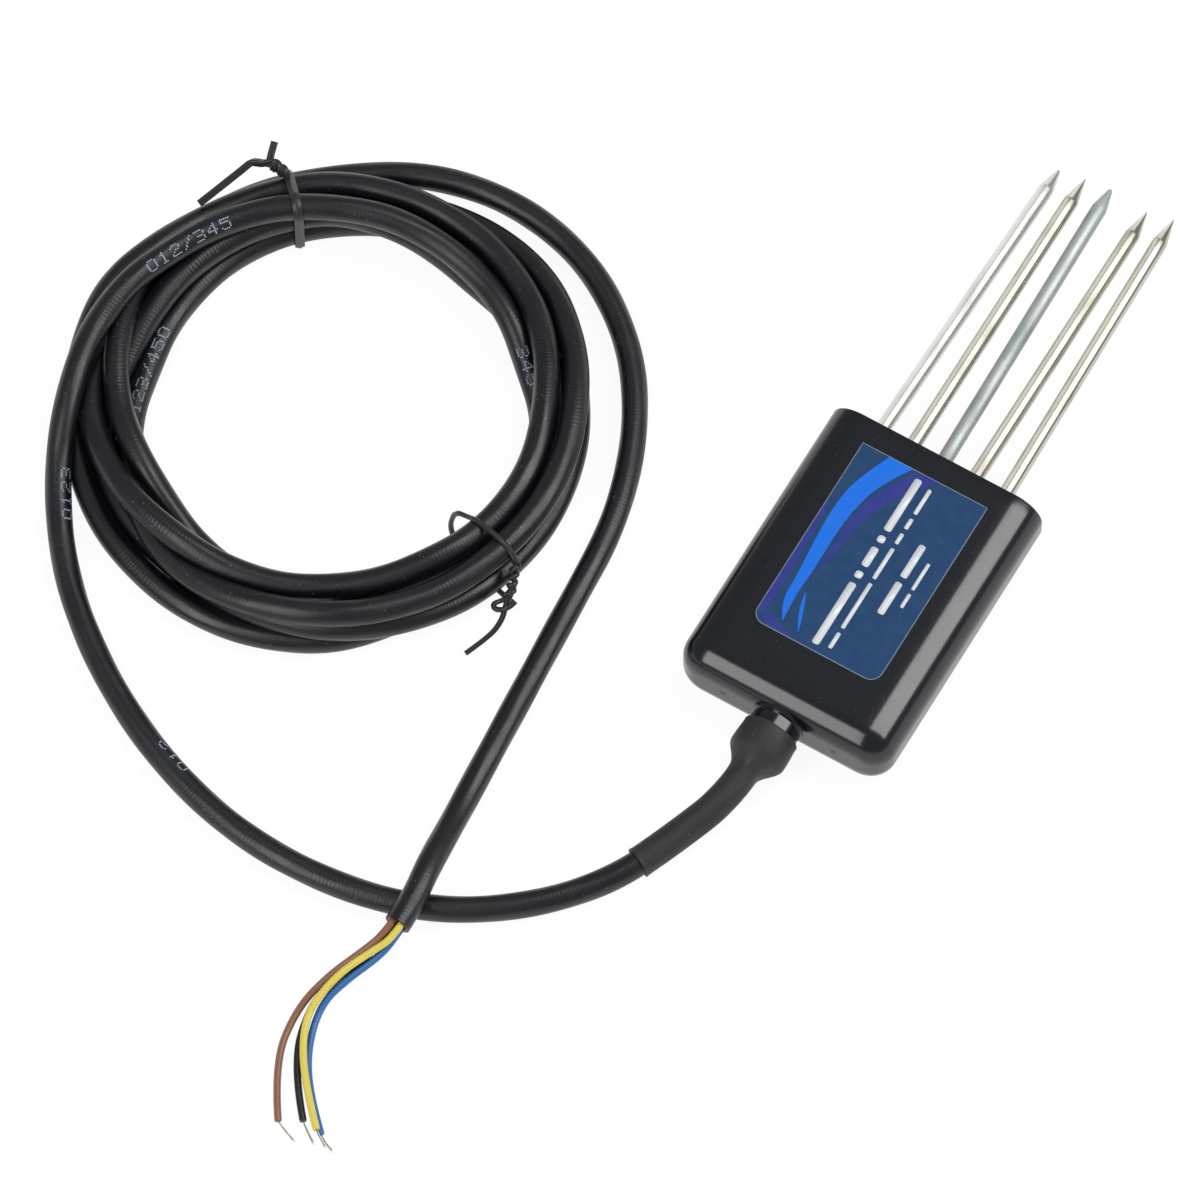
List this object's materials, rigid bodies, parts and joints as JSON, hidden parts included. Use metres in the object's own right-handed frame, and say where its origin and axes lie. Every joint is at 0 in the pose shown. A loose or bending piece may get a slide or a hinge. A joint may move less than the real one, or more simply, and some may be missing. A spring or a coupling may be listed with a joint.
{
  "type": "soil moisture sensor",
  "caption": "Soil sensor in a flat potted housing, with a row of pointed metal probes and a coiled, twist-tied lead that ends in bare coloured wires.",
  "frame": {"origin": "centre of the housing's flat back face", "axes": "+Y along the probes towards their tips, +Z out of the labelled front, +X across the row of probes"},
  "size_m": [0.1784, 0.2437, 0.0152],
  "materials": {
    "housing_abs": "glossy black moulding",
    "potting_epoxy": "cast black resin",
    "label_film": "printed blue film",
    "probe_steel": "polished",
    "probe_satin_steel": "satin",
    "probe_grey_steel": "dull grey",
    "board_laminate": "green solder mask",
    "chip_epoxy": "moulded",
    "metal_can": "satin can",
    "chip_ceramic": "fired",
    "solder": "bright solder",
    "bead_glass": "glass bead",
    "cable_pvc": "satin black sheath",
    "sleeve_polyolefin": "shrunk sleeve",
    "tie_plastic": "coated wire",
    "core_brown_pvc": "soft insulation",
    "core_yellow_pvc": "soft insulation",
    "core_black_pvc": "soft insulation",
    "core_blue_pvc": "soft insulation",
    "tinned_copper": "tinned strands"
  },
  "bodies": {
    "root": {"housing_shell": "housing_abs", "potting_compound": "potting_epoxy", "label": "label_film", "probe_1": "probe_satin_steel", "probe_2": "probe_steel", "probe_3": "probe_grey_steel", "probe_4": "probe_steel", "probe_5": "probe_steel", "circuit_board": "board_laminate", "microcontroller": "chip_epoxy", "bus_transceiver": "chip_epoxy", "voltage_regulator": "chip_epoxy", "crystal": "metal_can", "capacitors": "metal_can", "resistors": "chip_ceramic", "solder_joints": "solder", "thermistor": "bead_glass", "thermistor_wires": "tinned_copper", "heat_shrink_sleeve": "sleeve_polyolefin", "cable_lead": "cable_pvc", "cable_coil": "cable_pvc", "cable_tail": "cable_pvc", "twist_tie_upper": "tie_plastic", "twist_tie_lower": "tie_plastic", "core_brown": "core_brown_pvc", "inner_core_brown": "core_brown_pvc", "conductor_brown": "tinned_copper", "core_yellow": "core_yellow_pvc", "inner_core_yellow": "core_yellow_pvc", "conductor_yellow": "tinned_copper", "core_black": "core_black_pvc", "inner_core_black": "core_black_pvc", "conductor_black": "tinned_copper", "core_blue": "core_blue_pvc", "inner_core_blue": "core_blue_pvc", "conductor_blue": "tinned_copper"}
  },
  "joints": []
}
